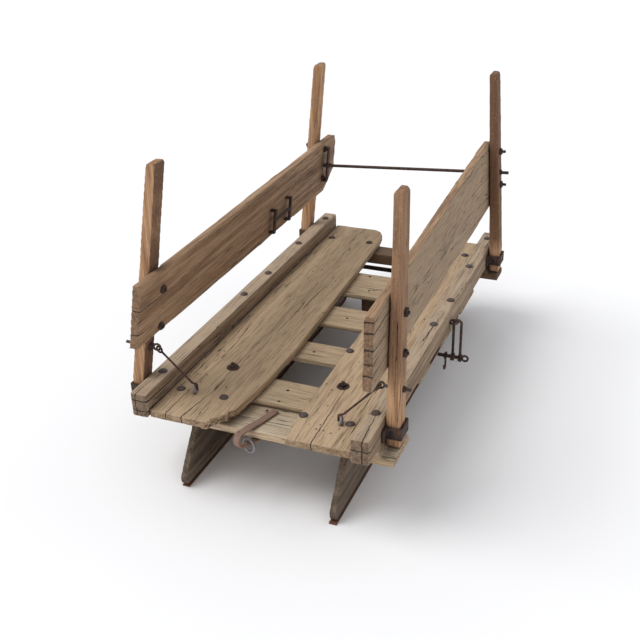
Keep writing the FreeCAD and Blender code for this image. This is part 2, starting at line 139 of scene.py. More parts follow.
def new_group(name, inputs, outputs):
    """An empty shader group: (group, helper, what it is given by name, output node).
    inputs are (name, kind, value), outputs are (name, kind)."""
    group = bpy.data.node_groups.new(name, "ShaderNodeTree")
    for label, kind, value in inputs:
        socket = group.interface.new_socket(label, in_out="INPUT", socket_type="NodeSocket" + kind)
        socket.default_value = value
    for label, kind in outputs:
        group.interface.new_socket(label, in_out="OUTPUT", socket_type="NodeSocket" + kind)
    shader = Shader(group)
    return group, shader, shader.add("NodeGroupInput").outputs, shader.add("NodeGroupOutput")


def give(s, end, results):
    """Links each result to the group output of the same name."""
    for label, value in results.items():
        s.tree.links.new(value, end.inputs[label])


def same_number(s, number):
    """A vector whose three parts are one number, which moves a noise to another place."""
    return s.add("ShaderNodeCombineXYZ", {0: number, 1: number, 2: number}).outputs[0]


print("shader helper ready")


# %% [markdown]
# ## Shared effect: wood grain
#
# Grain is noise that has been pulled out along one direction. The group stretches its
# position first, so one group serves boards along the sled, beams across it and upright
# stakes. It gives fine fibres, broad colour bands, drying cracks that follow the grain and
# the small round holes that wood beetles leave.

# %% Build the wood grain group


def make_grain_group():
    inputs = [("Position", "Vector", (0.0, 0.0, 0.0)), ("Stretch", "Vector", (100.0, 100.0, 100.0)),
              ("Seed", "Float", 0.0)]
    outputs = [(label, "Float") for label in ("Fibre", "Bands", "Cracks", "Holes", "Height")]
    group, s, given, end = new_group("wood_grain", inputs, outputs)
    seed = same_number(s, given["Seed"])
    moved = s.vector("ADD", s.vector("MULTIPLY", given["Position"], given["Stretch"]), seed)
    wander = s.vector("SUBTRACT", s.noise_colour(moved, 0.22), (0.5, 0.5, 0.5))
    lines = s.vector("ADD", moved, s.scaled(wander, 1.6))
    fibre = s.noise(lines, 1.9, 9.0, 0.66)
    bands = s.noise(lines, 0.36, 4.0, 0.55)
    ridge = s.math("ABSOLUTE", s.math("SUBTRACT", s.noise(lines, 0.62, 2.0, 0.4), 0.5))
    patches = s.ramp(s.noise(moved, 0.16, 1.0), 0.46, 0.58)
    cracks = s.math("MULTIPLY", s.ramp(ridge, 0.003, 0.012, 1.0, 0.0), patches)
    cells = s.add("ShaderNodeTexVoronoi", {"Vector": s.vector("ADD", given["Position"], seed), "Scale": 62.0})
    dots = s.ramp(cells.outputs["Distance"], 0.095, 0.150, 1.0, 0.0)
    eaten = s.ramp(s.noise(s.vector("ADD", given["Position"], seed), 11.0), 0.47, 0.60)
    holes = s.math("MULTIPLY", dots, eaten)
    height = s.math("ADD", s.math("MULTIPLY", fibre, 0.55), s.math("MULTIPLY", bands, 0.35))
    height = s.math("SUBTRACT", height, s.math("ADD", cracks, holes))
    give(s, end, {"Fibre": fibre, "Bands": bands, "Cracks": cracks, "Holes": holes, "Height": height})
    return group


GRAIN = make_grain_group()
print("group", GRAIN.name)

# %% [markdown]
# ## Shared effect: worn edges and painted shade
#
# Handling rubs the corners of old timber pale and round. The Bevel node gives a normal that is rounded
# at each edge: where it differs from the real normal there is an edge. Ambient occlusion is the opposite
# test: it finds corners and recesses, where the colour is darkened as painted shade.

# %% Build the wear and painted shade group


def make_wear_and_shade_group():
    inputs = [("Position", "Vector", (0.0, 0.0, 0.0)), ("Edge radius", "Float", 0.003),
              ("Shade reach", "Float", 0.03)]
    outputs = [("Edge", "Float"), ("Painted shade", "Float"), ("Normal", "Vector")]
    group, s, given, end = new_group("edge_wear_and_painted_shade", inputs, outputs)
    rounded = s.add("ShaderNodeBevel", {"Radius": given["Edge radius"]}, samples=4).outputs[0]
    flat = s.add("ShaderNodeNewGeometry").outputs["Normal"]
    turn = s.math("SUBTRACT", 1.0, s.vector("DOT_PRODUCT", rounded, flat))
    rubbed = s.ramp(s.noise(given["Position"], 45.0, 5.0, 0.6), 0.35, 0.62)
    edge = s.math("MULTIPLY", s.ramp(turn, 0.01, 0.14), rubbed)
    reach = {"Distance": given["Shade reach"]}
    open_sky = s.add("ShaderNodeAmbientOcclusion", reach, samples=6).outputs["AO"]
    # painted shade: one minus ambient occlusion, strongest in corners and recesses
    painted_shade = s.ramp(s.math("SUBTRACT", 1.0, open_sky), 0.15, 0.75)
    give(s, end, {"Edge": edge, "Painted shade": painted_shade, "Normal": rounded})
    return group


WEAR_AND_SHADE = make_wear_and_shade_group()
print("group", WEAR_AND_SHADE.name)

# %% [markdown]
# ## Shared effect: one long crack
#
# Some splits are in a known place. The distance from a point to a line between two ends is
# a dozen vector nodes, and a noise that shifts the point makes the line wander. Keep drops
# one direction from the measure, so that a split runs right through a board's thickness.

# %% Build the crack group


def make_crack_group():
    inputs = [("Position", "Vector", (0.0, 0.0, 0.0)), ("Start", "Vector", (0.0, 0.0, 0.0)),
              ("End", "Vector", (0.0, 1.0, 0.0)), ("Keep", "Vector", (1.0, 1.0, 1.0)),
              ("Width", "Float", 0.001)]
    group, s, given, end = new_group("one_crack", inputs, [("Mask", "Float")])
    shake = s.vector("SUBTRACT", s.noise_colour(given["Position"], 70.0, 3.0), (0.5, 0.5, 0.5))
    spot = s.vector("ADD", given["Position"], s.scaled(shake, 0.006))
    away = s.vector("MULTIPLY", s.vector("SUBTRACT", spot, given["Start"]), given["Keep"])
    run = s.vector("MULTIPLY", s.vector("SUBTRACT", given["End"], given["Start"]), given["Keep"])
    length = s.vector("DOT_PRODUCT", run, run)
    share = s.math("DIVIDE", s.vector("DOT_PRODUCT", away, run), length, clamp=True)
    gap = s.vector("LENGTH", s.vector("SUBTRACT", away, s.scaled(run, share)))
    taper = s.math("MULTIPLY", given["Width"], s.ramp(share, 0.0, 1.0, 1.4, 0.35))
    mask = s.ramp(s.math("DIVIDE", gap, taper), 0.5, 1.1, 1.0, 0.0)
    give(s, end, {"Mask": mask})
    return group


CRACK = make_crack_group()
print("group", CRACK.name)

# %% [markdown]
# ## Shared effect: rust
#
# Forged iron that stands in a barn turns nearly black, with brown bloom in patches and a
# few orange freckles. Two noises at different sizes give the patches and the pitting.

# %% Build the rust group


def make_rust_group():
    inputs = [("Position", "Vector", (0.0, 0.0, 0.0)), ("Iron", "Color", (0.03, 0.02, 0.02, 1.0)),
              ("Bloom", "Color", (0.15, 0.06, 0.03, 1.0)), ("Freckles", "Color", (0.4, 0.15, 0.05, 1.0)),
              ("Amount", "Float", 0.5), ("Seed", "Float", 0.0)]
    outputs = [("Color", "Color"), ("Rough", "Float"), ("Height", "Float")]
    group, s, given, end = new_group("rust", inputs, outputs)
    seed = same_number(s, given["Seed"])
    spot = s.vector("ADD", given["Position"], seed)
    patches = s.noise(spot, 55.0, 7.0, 0.68)
    pits = s.noise(spot, 420.0, 4.0, 0.6)
    edge = s.math("SUBTRACT", 0.75, s.math("MULTIPLY", given["Amount"], 0.5))
    bloom = s.ramp(s.math("SUBTRACT", patches, edge), -0.09, 0.07)
    colour = s.mix(bloom, given["Iron"], given["Bloom"])
    freckles = s.math("MULTIPLY", s.ramp(pits, 0.56, 0.68), bloom)
    colour = s.mix(freckles, colour, given["Freckles"])
    rough = s.ramp(bloom, 0.0, 1.0, 0.55, 0.92)
    height = s.math("ADD", s.math("MULTIPLY", patches, 0.7), s.math("MULTIPLY", pits, 0.3))
    give(s, end, {"Color": colour, "Rough": rough, "Height": height})
    return group


RUST = make_rust_group()
print("group", RUST.name)

# %% [markdown]
# ## The wood material
#
# One function makes the finish for any wooden piece. Its tones are pale, middle and dark:
# the bands choose between the first two, and the fibres pull in the third. Faces that meet the sky bleach,
# and the rear left stake's face turned from the lamp is darkened as painted shade. End grain is greyer,
# hidden faces stay brown, and cracks are almost black.

# %% Define the wood material
ALONG, ACROSS = 7.0, 215.0
GRAIN_AXIS = {"x": (1.0, 0.0, 0.0), "y": (0.0, 1.0, 0.0), "z": (0.0, 0.0, 1.0)}
CRACK_TONE = srgb(30, 22, 18)


def empty_material(name):
    material = bpy.data.materials.new(name)
    material.use_nodes = True
    material.node_tree.nodes.clear()
    return material, Shader(material.node_tree)


def finish_material(s, colour, rough, normal, metallic=0.0, specular=0.35):
    surface = s.add("ShaderNodeBsdfPrincipled", {
        "Base Color": colour, "Roughness": rough, "Normal": normal, "Metallic": metallic,
        "Specular IOR Level": specular})
    s.add("ShaderNodeOutputMaterial", {"Surface": surface.outputs[0]})


def wood(name, piece, grain, tones, seed, bleach_and_painted_shade=None, facing=(0.0, 0.0, 1.0), holes=0.8, cracks=(),
         stain=None, relief=0.0016):
    """tones is (pale, middle, dark); bleach_and_painted_shade is the tone of faces turned towards facing:
    sun bleach on most pieces, and painted shade on the rear left stake's face turned from the lamp; cracks
    is a list of (start, end, keep, width in mm) in drawing places; stain is (tone, low, high),
    a tone that takes over between two heights in metres."""
    material, s = empty_material(name)
    place = s.add("ShaderNodeTexCoord").outputs["Object"]
    stretch = tuple(ALONG if axis == grain else ACROSS for axis in "xyz")
    fibres = s.add("ShaderNodeGroup", node_tree=GRAIN)
    s.tree.links.new(place, fibres.inputs["Position"])
    fibres.inputs["Stretch"].default_value = stretch
    fibres.inputs["Seed"].default_value = seed
    wear_and_shade = s.add("ShaderNodeGroup", node_tree=WEAR_AND_SHADE)
    s.tree.links.new(place, wear_and_shade.inputs["Position"])
    out = fibres.outputs
    pale, middle, dark = tones
    colour = s.mix(s.ramp(out["Bands"], 0.38, 0.62), pale, middle)
    normal_out = s.add("ShaderNodeNewGeometry").outputs["Normal"]
    # faces turned towards facing take this tone: grey sun bleach on most pieces, painted shade on the rear
    # left stake
    if bleach_and_painted_shade:
        turned = s.ramp(s.vector("DOT_PRODUCT", normal_out, facing), 0.35, 0.85)
        patchy = s.ramp(s.noise(place, 14.0, 4.0, 0.6), 0.25, 0.60, 0.55, 1.0)
        colour = s.mix(s.math("MULTIPLY", turned, patchy), colour, bleach_and_painted_shade)
    if stain:
        tone, low, high = stain
        height = s.add("ShaderNodeSeparateXYZ", {0: place}).outputs[2]
        uneven = s.math("ADD", height, s.math("MULTIPLY", s.noise(place, 30.0, 3.0), 0.05))
        colour = s.mix(s.ramp(uneven, low, high), colour, tone)
    colour = s.mix(s.math("MULTIPLY", s.ramp(out["Fibre"], 0.46, 0.66), 0.62), colour, dark)
    flecks = s.ramp(s.noise(place, 260.0, 3.0, 0.6), 0.56, 0.70, 0.0, 0.35)
    colour = s.mix(flecks, colour, pale)
    end_face = s.ramp(s.math("ABSOLUTE", s.vector("DOT_PRODUCT", normal_out, GRAIN_AXIS[grain])), 0.75, 0.95)
    rings = s.ramp(s.noise(place, 190.0, 6.0, 0.7), 0.38, 0.62)
    end_tone = s.mix(rings, dark, middle)
    colour = s.mix(s.math("MULTIPLY", end_face, 0.6), colour, end_tone)
    colour = s.mix(s.math("MULTIPLY", wear_and_shade.outputs["Edge"], 0.40), colour, pale)
    # painted shade: corners and recesses found by ambient occlusion are darkened towards the dark tone
    colour = s.mix(s.math("MULTIPLY", wear_and_shade.outputs["Painted shade"], 0.55), colour, dark)
    split = out["Cracks"]
    for start, stop, keep, width in cracks:
        line = s.add("ShaderNodeGroup", node_tree=CRACK)
        s.tree.links.new(place, line.inputs["Position"])
        inside = piece.matrix_world.inverted()
        line.inputs["Start"].default_value = inside @ at(*start)
        line.inputs["End"].default_value = inside @ at(*stop)
        line.inputs["Keep"].default_value = keep
        line.inputs["Width"].default_value = width / 1000
        split = s.math("MAXIMUM", split, line.outputs["Mask"])
    eaten = s.math("MULTIPLY", out["Holes"], holes)
    gone = s.math("MAXIMUM", split, eaten)
    colour = s.mix(s.math("MULTIPLY", gone, 0.88), colour, CRACK_TONE)
    height = s.math("SUBTRACT", out["Height"], s.math("MULTIPLY", gone, 1.2))
    bump = s.add("ShaderNodeBump", {"Strength": 0.75, "Distance": relief, "Height": height,
                                    "Normal": wear_and_shade.outputs["Normal"]}).outputs[0]
    rough = s.ramp(out["Fibre"], 0.3, 0.7, 0.70, 0.92)
    finish_material(s, colour, rough, bump)
    return material


# %% [markdown]
# ## The iron material
#
# Each iron piece takes the rust group with its own tones. Metal stays only where there is
# no bloom, because rust is an oxide and doesn't shine like metal.

# %% Define the iron material
IRON_TONES = {
    "black": (srgb(44, 38, 38), srgb(74, 54, 46), srgb(120, 78, 54), 0.55),
    "rusty": (srgb(86, 72, 66), srgb(130, 105, 92), srgb(156, 116, 88), 0.75),
    "pale": (srgb(142, 138, 140), srgb(120, 108, 100), srgb(150, 112, 84), 0.35),
    "violet": (srgb(84, 77, 78), srgb(76, 62, 56), srgb(120, 88, 66), 0.50),
    "shoe": (srgb(58, 48, 44), srgb(112, 74, 52), srgb(176, 104, 58), 0.70),
}


def iron(name, tone, seed, pitting=0.0007):
    material, s = empty_material(name)
    place = s.add("ShaderNodeTexCoord").outputs["Object"]
    base, bloom, freckles, amount = IRON_TONES[tone]
    rust = s.add("ShaderNodeGroup", node_tree=RUST)
    s.tree.links.new(place, rust.inputs["Position"])
    for label, value in (("Iron", base), ("Bloom", bloom), ("Freckles", freckles), ("Amount", amount),
                         ("Seed", seed)):
        rust.inputs[label].default_value = value
    wear_and_shade = s.add("ShaderNodeGroup", {"Edge radius": 0.0012, "Shade reach": 0.012}, node_tree=WEAR_AND_SHADE)
    s.tree.links.new(place, wear_and_shade.inputs["Position"])
    colour = s.mix(s.math("MULTIPLY", wear_and_shade.outputs["Edge"], 0.5), rust.outputs["Color"], bloom)
    # painted shade: corners and recesses found by ambient occlusion are darkened to a near-black brown
    colour = s.mix(s.math("MULTIPLY", wear_and_shade.outputs["Painted shade"], 0.6), colour, srgb(28, 22, 20))
    bump = s.add("ShaderNodeBump", {"Strength": 0.8, "Distance": pitting, "Height": rust.outputs["Height"],
                                    "Normal": wear_and_shade.outputs["Normal"]}).outputs[0]
    bare = s.ramp(rust.outputs["Rough"], 0.55, 0.8, 0.55, 0.0)
    finish_material(s, colour, rust.outputs["Rough"], bump, bare, 0.4)
    return material


# %% [markdown]
# ## Wear the timber down
#
# A plank from the frame has a few long triangles. Remesh gives it an even skin of small
# faces, which also rounds its corners a little, and two Displace modifiers then wear it
# inwards. Their noise is read through an empty that is long in the grain's direction, so
# the hollows are long too. Each empty rides on the piece's body and moves with it.

# %% Set up the grain empties and the weathering modifiers
HOLLOWS = bpy.data.textures.new("long_hollows", "CLOUDS")
HOLLOWS.noise_scale = 1.0
HOLLOWS.noise_depth = 2
FURROWS = bpy.data.textures.new("fine_furrows", "CLOUDS")
FURROWS.noise_scale = 0.35
FURROWS.noise_depth = 4
GRAIN_LENGTH, GRAIN_WIDTH = 0.30, 0.014
HOLLOW_DEPTH, FURROW_DEPTH = 0.0014, 0.0008
BOARD_SKIN, BEAM_SKIN, SAME_POINT = 0.0028, 0.003, 0.00002
grain_guides = {}


def grain_guide(body, grain):
    if (body, grain) not in grain_guides:
        guide = bpy.data.objects.new(f"grain_{grain}_{body}", None)
        bpy.context.scene.collection.objects.link(guide)
        guide.scale = [GRAIN_LENGTH if axis == grain else GRAIN_WIDTH for axis in "xyz"]
        guide.empty_display_size = 0.01
        bpy.context.view_layer.update()
        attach(guide, body)
        grain_guides[body, grain] = guide
    return grain_guides[body, grain]


def weather(piece, body, grain, skin):
    weld = piece.modifiers.new("join_faces", "WELD")
    weld.merge_threshold = SAME_POINT
    remesh = piece.modifiers.new("even_skin", "REMESH")
    remesh.mode = "VOXEL"
    remesh.voxel_size = skin
    remesh.use_smooth_shade = True
    for label, texture, depth in (("hollows", HOLLOWS, HOLLOW_DEPTH), ("furrows", FURROWS, FURROW_DEPTH)):
        worn = piece.modifiers.new(label, "DISPLACE")
        worn.texture = texture
        worn.texture_coords = "OBJECT"
        worn.texture_coords_object = grain_guide(body, grain)
        worn.mid_level = 1.0
        worn.strength = depth


# %% [markdown]
# ## The timber, piece by piece
#
# The table says which way each piece's grain runs and its tones. The deck has dried to a
# grey tan and is full of beetle holes, the rails are browner inside, the side boards are
# brown within and bleached outside, the stakes are redder, and the rear beam is palest.

# %% Finish the timber
DECK = (srgb(188, 164, 134), srgb(158, 132, 102), srgb(92, 69, 50))
RAIL = (srgb(160, 138, 114), srgb(126, 103, 80), srgb(68, 51, 40))
SIDE = (srgb(166, 136, 106), srgb(134, 104, 78), srgb(74, 54, 40))
STAKE = (srgb(196, 156, 118), srgb(162, 122, 88), srgb(90, 62, 44))
BEAM = (srgb(202, 178, 148), srgb(170, 144, 112), srgb(98, 76, 56))
SLAT = (srgb(186, 164, 134), srgb(156, 133, 104), srgb(92, 72, 54))
BROWN_BEAM = (srgb(124, 96, 72), srgb(92, 68, 50), srgb(52, 38, 29))
RUNNER = (srgb(120, 104, 88), srgb(88, 73, 60), srgb(50, 39, 32))
GREY_TAN = srgb(168, 148, 124)
GREY_BEIGE = srgb(156, 134, 108)
UP = (0.0, 0.0, 1.0)
TO_LEFT, TO_RIGHT = (-1.0, 0.0, 0.0), (1.0, 0.0, 0.0)
FLAT_SPLIT = (1.0, 1.0, 0.0)      # a crack right through a lying board, whatever its height
WALL_SPLIT = (0.0, 1.0, 1.0)      # a crack right through a standing board

TIMBER = {
    "left_rail": dict(grain="y", tones=RAIL, bleach_and_painted_shade=GREY_TAN, holes=0.5, cracks=[
        ((0, -2, 204), (0, 150, 201), WALL_SPLIT, 1.3), ((0, -2, 182), (0, 110, 184), WALL_SPLIT, 1.1),
        ((-231, -2, 0), (-226, 84, 0), FLAT_SPLIT, 0.9)]),
    "right_rail": dict(grain="y", tones=RAIL, bleach_and_painted_shade=GREY_TAN, holes=0.5, cracks=[
        ((225, 385, 0), (232, 528, 0), FLAT_SPLIT, 1.3), ((229, -2, 0), (222, 150, 0), FLAT_SPLIT, 1.1),
        ((0, -2, 196), (0, 90, 199), WALL_SPLIT, 1.1)]),
    "left_deck_board": dict(grain="y", tones=DECK, bleach_and_painted_shade=srgb(176, 152, 122), holes=1.0, cracks=[
        ((-136, 3, 0), (-121, 120, 0), FLAT_SPLIT, 1.2), ((-170, 3, 0), (-166, 210, 0), FLAT_SPLIT, 0.8),
        ((-95, 500, 0), (-88, 690, 0), FLAT_SPLIT, 0.8)]),
    "right_deck_board": dict(grain="y", tones=DECK, bleach_and_painted_shade=srgb(180, 156, 126), holes=1.0, cracks=[
        ((128, 3, 0), (120, 260, 0), FLAT_SPLIT, 0.9), ((168, 620, 0), (160, 860, 0), FLAT_SPLIT, 0.8)]),
    "rear_beam": dict(grain="x", tones=BEAM, bleach_and_painted_shade=srgb(188, 174, 150), holes=0.7),
    "front_beam": dict(grain="x", tones=BROWN_BEAM, bleach_and_painted_shade=srgb(120, 98, 78), holes=0.3),
    "slat_1": dict(grain="x", tones=SLAT, bleach_and_painted_shade=srgb(182, 160, 130), holes=0.4),
    "slat_2": dict(grain="x", tones=SLAT, bleach_and_painted_shade=srgb(182, 160, 130), holes=0.4),
    "slat_3": dict(grain="x", tones=SLAT, bleach_and_painted_shade=srgb(182, 160, 130), holes=0.4),
    "slat_4": dict(grain="x", tones=SLAT, bleach_and_painted_shade=srgb(182, 160, 130), holes=0.4),
    "left_runner": dict(grain="y", tones=RUNNER, holes=0.3),
    "right_runner": dict(grain="y", tones=RUNNER, holes=0.3),
    "centre_block": dict(grain="y", tones=BROWN_BEAM, holes=0.2),
    # its face turned to the right, away from the lamp, is painted dark brown: painted shade
    "rear_left_stake": dict(grain="z", tones=STAKE, holes=0.3, bleach_and_painted_shade=srgb(104, 78, 60), facing=TO_RIGHT),
    "rear_right_stake": dict(grain="z", tones=STAKE, holes=0.3, stain=(srgb(146, 112, 84), 0.285, 0.345)),
    "front_left_stake": dict(grain="z", tones=STAKE, holes=0.3),
    "front_right_stake": dict(grain="z", tones=STAKE, holes=0.3, stain=(srgb(112, 82, 60), 0.225, 0.285)),
    "left_sideboard": dict(grain="y", tones=SIDE, bleach_and_painted_shade=GREY_BEIGE, facing=TO_LEFT, holes=0.5, cracks=[
        ((0, -7, 402), (0, 120, 398), WALL_SPLIT, 1.2), ((0, -7, 352), (0, 70, 350), WALL_SPLIT, 1.0)]),
    "right_sideboard": dict(grain="y", tones=SIDE, bleach_and_painted_shade=GREY_BEIGE, facing=TO_RIGHT, holes=0.5, cracks=[
        ((0, 2, 431), (0, 175, 438), WALL_SPLIT, 1.8), ((0, 2, 399), (0, 110, 395), WALL_SPLIT, 1.6),
        ((0, 2, 452), (0, 74, 455), WALL_SPLIT, 1.3), ((0, 2, 349), (0, 130, 352), WALL_SPLIT, 1.4),
        ((0, 2, 372), (0, 60, 376), WALL_SPLIT, 1.2)]),
}
SEED_STEP = 3.7
for number, (name, look) in enumerate(TIMBER.items()):
    piece = nodes[name]
    body = "racks" if "stake" in name or "sideboard" in name else "sled"
    skin = BOARD_SKIN if "board" in name else BEAM_SKIN
    piece.data.materials.clear()
    piece.data.materials.append(wood(f"{name}_wood", piece, seed=SEED_STEP * number, **look))
    weather(piece, body, look["grain"], skin)
print("timber pieces finished:", len(TIMBER))

# %% [markdown]
# ## The iron, piece by piece
#
# Most of the iron is black with brown bloom. The clevis and the shoes are redder, and the
# rings that rub, at the tow end and on the deck, have stayed a pale grey.

# %% Finish the iron
IRON = {
    "black": ["rear_left_pocket", "rear_right_pocket", "front_left_pocket", "front_right_pocket",
              "rod_keeper", "end_rod", "side_keepers", "left_brace_hook", "right_brace_hook", "nose_rod",
              "side_eye", "side_pin", "side_shackle", "side_hook", "clevis_bolt"],
    "rusty": ["tow_clevis"],
    "pale": ["tow_ring", "deck_eyes"],
    "violet": ["stake_eyes"],
    "shoe": ["left_shoe", "right_shoe"],
}
for tone, names in IRON.items():
    for number, name in enumerate(names):
        piece = nodes[name]
        piece.data.materials.clear()
        piece.data.materials.append(iron(f"{name}_{tone}_iron", tone, 1.3 * number))
print("iron pieces finished:", sum(len(names) for names in IRON.values()))

# %% [markdown]
# ## Turned iron: bolts, washers, nuts and nails
#
# A bolt head, a washer and a nut are all profiles turned round an axis. With 28 steps the
# result is round, and with six or four steps the same function makes a hexagon or a square.
# Each one leans and turns a little, because nobody drives two bolts quite alike.

# %% Define the turning function and the profiles
random.seed(7)
DOMED_HEAD = [(8.6, 0.0), (9.0, 0.6), (8.7, 1.5), (7.4, 3.0), (5.2, 4.3), (2.6, 5.1), (0.0, 5.3)]
WASHER = [(4.0, 0.0), (12.6, 0.0), (13.0, 0.8), (12.5, 1.9), (4.0, 2.0)]
NUT = [(8.4, 0.0), (8.4, 5.2), (7.2, 6.4), (0.0, 6.5)]
SMALL_NUT = [(6.6, 0.0), (6.6, 4.2), (5.6, 5.0), (0.0, 5.1)]
NAIL_HEAD = [(3.0, 0.0), (3.2, 0.5), (2.6, 1.1), (0.0, 1.3)]


def threaded_end(radius, length, pitch=1.25):
    """The profile of a bolt's end: thread ridges, then a worn tip."""
    profile = []
    turns = int(length / pitch)
    for turn in range(turns):
        profile += [(radius, turn * pitch), (radius * 0.86, (turn + 0.5) * pitch)]
    return profile + [(radius * 0.9, length - 0.6), (radius * 0.6, length), (0.0, length + 0.1)]


def turn_profile(mesh, place, axis, profile, steps=28, lean=4.0):
    """Adds the surface of a profile of (radius, height) in millimetres, turned round an axis."""
    tilt = Vector([random.uniform(-1, 1) for _ in range(3)]) * math.tan(math.radians(lean))
    direction = (Vector(axis).normalized() + tilt).normalized()
    turned = direction.to_track_quat("Z", "Y")
    phase = random.uniform(0, math.tau)
    rows = []
    for radius, height in profile:
        row = []
        for step in range(steps):
            angle = phase + math.tau * step / steps
            uneven = 1 + 0.025 * math.sin(2 * angle + phase)
            corner = Vector((radius * uneven * math.cos(angle), radius * uneven * math.sin(angle), height))
            row.append(mesh.verts.new(place + turned @ (corner / 1000)))
        rows.append(row)
    for low, high in zip(rows, rows[1:]):
        for step in range(steps):
            after = (step + 1) % steps
            mesh.faces.new((low[step], low[after], high[after], high[step]))


def spike(mesh, root, tip, width):
    """A splinter: three long faces from a root to a point."""
    direction = (tip - root).normalized()
    turned = direction.to_track_quat("Z", "Y")
    base = []
    for angle in (0.3, 2.2, 4.4):
        corner = Vector((width * math.cos(angle), 0.45 * width * math.sin(angle), 0.0))
        base.append(mesh.verts.new(root + turned @ corner))
    middle = [mesh.verts.new(v.co * 0.45 + tip * 0.55 + turned @ Vector((width * 0.15, 0, 0))) for v in base]
    point = mesh.verts.new(tip)
    mesh.faces.new(base)
    for i in range(3):
        after = (i + 1) % 3
        mesh.faces.new((base[i], base[after], middle[after], middle[i]))
        mesh.faces.new((middle[i], middle[after], point))


def make_piece(name, body, material, build, smooth=True):
    """Runs build on an empty mesh and puts the result on a body."""
    mesh = bmesh.new()
    build(mesh)
    bmesh.ops.recalc_face_normals(mesh, faces=mesh.faces)
    data = bpy.data.meshes.new(name)
    mesh.to_mesh(data)
    mesh.free()
    piece = bpy.data.objects.new(name, data)
    bpy.context.scene.collection.objects.link(piece)
    for face in data.polygons:
        face.use_smooth = smooth
    data.materials.append(material)
    bpy.context.view_layer.update()
    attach(piece, body)
    print(name, "faces", len(data.polygons))
    return piece


# %% [markdown]
# ## Where the bolts sit
#
# Deck bolts stand over the beams that they hold. Each rail has a row of domed heads on its
# top, and two of the deck bolts have a wide washer and a nut, where a repair was made.

# %% Make the deck and rail iron
DECK_HEADS = [(-186, 95), (-91, 95), (80, 90), (174, 92), (77, 349),
              (-186, 915), (-80, 915), (90, 915), (180, 915)]
DECK_NUTS = [(-126, 204), (114, 211)]
RAIL_HEADS = [(-224, 95), (-226, 463), (-222, 587), (-225, 780), (-224, 964),
              (222, 95), (226, 463), (230, 587), (224, 780), (226, 964)]
SLAT_NAILS = [(4, 187), (4, 144), (-20, 752), (5, 675), (-6, 350), (6, 520)]
CLEVIS_NAIL = (-9, 116, 159.5)
SUNK = 1.4                        # how far a head is drawn into the wood


def deck_heads(mesh):
    for x, y in DECK_HEADS:
        turn_profile(mesh, at(x, y, DECK_TOP - SUNK), UP, DOMED_HEAD)


def deck_nuts(mesh):
    for x, y in DECK_NUTS:
        turn_profile(mesh, at(x, y, DECK_TOP - 1.6), UP, WASHER, lean=2.0)
        turn_profile(mesh, at(x, y, DECK_TOP + 0.2), UP, NUT, steps=4, lean=3.0)
        turn_profile(mesh, at(x, y, DECK_TOP + 5.0), UP, threaded_end(3.8, 6.0), lean=3.0)


def rail_heads(mesh):
    for x, y in RAIL_HEADS:
        turn_profile(mesh, at(x, y, RAIL_TOP - SUNK), UP, DOMED_HEAD)


def slat_nails(mesh):
    for x, y in SLAT_NAILS:
        turn_profile(mesh, at(x, y, SLAT_TOP - 1.5), UP, NAIL_HEAD, steps=14)
    turn_profile(mesh, at(*CLEVIS_NAIL), UP, NAIL_HEAD, steps=14)


SLED_IRON = [("deck_bolt_heads", ("deck_head_iron", "violet", 2.1), deck_heads, True),
             ("deck_repair_nuts", ("repair_nut_iron", "black", 5.2), deck_nuts, False),
             ("rail_bolt_heads", ("rail_head_iron", "violet", 4.4), rail_heads, True),
             ("slat_nail_heads", ("nail_iron", "black", 6.1), slat_nails, True)]
for name, finish, build, smooth in SLED_IRON:
    make_piece(name, "sled", iron(*finish), build, smooth)

# %% [markdown]
# ## Nuts on the racks
#
# The boards hang on the stakes by bolts whose ends stand out. Their places follow the
# stakes' leaning faces, so the nuts lean with them.

# %% Make the rack iron
STAKE_FACE, STAKE_FOOT = 244.4, 28.0
# how far each stake's inner and outer face comes inwards per unit of rise
LEANS = {"rear_left": 0.1785, "front_left": 0.1024, "front_right": 0.0566, "rear_right": -0.02}
SHAVE = {"rear_left": 0.194, "front_left": 0.116, "front_right": 0.074, "rear_right": -0.004}
BOARD = 20.0
# stake, y, z, which face: inside the board, inside the stake, or outside the stake
RACK_NUTS = [("rear_left", 76, 413, "board"), ("rear_left", 76, 333, "board"),
             ("rear_left", 76, 284, "stake"),
             ("front_left", 918, 430, "board"), ("front_left", 918, 350, "board"),
             ("front_right", 915, 467, "outside"), ("front_right", 915, 385, "outside"),
             ("rear_right", 102, 430, "outside"), ("rear_right", 102, 350, "outside"),
             ("rear_left", 76, 413, "outside"), ("rear_left", 76, 333, "outside"),
             ("front_left", 921, 436, "outside"), ("front_left", 921, 350, "outside")]


def rack_face(stake, z, face):
    """(x, axis) of a stake's or board's face at a height."""
    side = -1 if "left" in stake else 1
    rise = z - RAIL_TOP
    if face == "outside":
        outer = STAKE_FACE + STAKE_FOOT - SHAVE[stake] * rise
        return side * outer, Vector((side, 0, SHAVE[stake]))
    inner = STAKE_FACE - LEANS[stake] * rise - (BOARD if face == "board" else 0.0)
    return side * inner, Vector((-side, 0, -LEANS[stake]))


def rack_nuts(mesh):
    for stake, y, z, face in RACK_NUTS:
        x, axis = rack_face(stake, z, face)
        place = at(x, y, z) - axis.normalized() * 0.0016
        turn_profile(mesh, place, axis, NUT, steps=6, lean=3.0)
        reach = 9.0 if face == "outside" and stake == "front_right" else 3.5
        turn_profile(mesh, place + axis.normalized() * 0.006, axis, threaded_end(3.6, reach), lean=2.0)
    for stake, y, z in (("rear_left", 76, 284), ("rear_right", 102, 276), ("front_right", 915, 416)):
        x, axis = rack_face(stake, z, "outside")
        turn_profile(mesh, at(x, y, z) - axis.normalized() * 0.0014, axis, SMALL_NUT, steps=6, lean=3.0)


make_piece("rack_nuts", "racks", iron("rack_nut_iron", "black", 8.8), rack_nuts, smooth=False)

